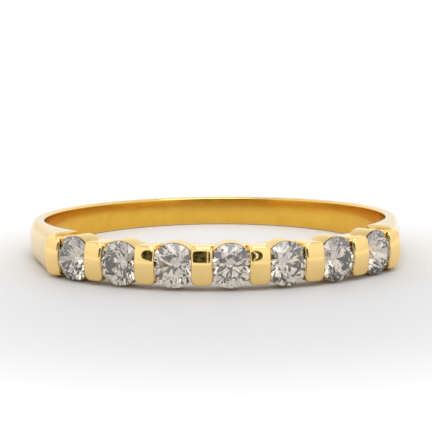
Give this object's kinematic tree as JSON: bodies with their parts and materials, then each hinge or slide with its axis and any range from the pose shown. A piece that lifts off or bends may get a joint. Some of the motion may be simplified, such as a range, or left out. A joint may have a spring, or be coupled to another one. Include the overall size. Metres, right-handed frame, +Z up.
{
  "type": "diamond ring",
  "caption": "Yellow gold half-eternity ring: round brilliant stones in a row between polished crossbars, on a shank that tapers to the back, lying on its side.",
  "frame": {"origin": "on the surface that the ring lies on, under the middle of the ring's outline", "axes": "+Z is up and nearly along the finger's axis: the ring leans 1.6 degrees, because it rests on the filed side of its tapering shank. -Y points to the middle stone, and the ring is the same to the left and right of it, along X."},
  "size_m": [0.0188, 0.02, 0.0024],
  "materials": {
    "yellow_gold": "polished 18 carat yellow gold",
    "diamond": "cut and polished, near colourless"
  },
  "bodies": {
    "root": {"gold_mount": "yellow_gold", "diamond_1": "diamond", "diamond_2": "diamond", "diamond_3": "diamond", "diamond_4": "diamond", "diamond_5": "diamond", "diamond_6": "diamond", "diamond_7": "diamond"}
  },
  "joints": []
}
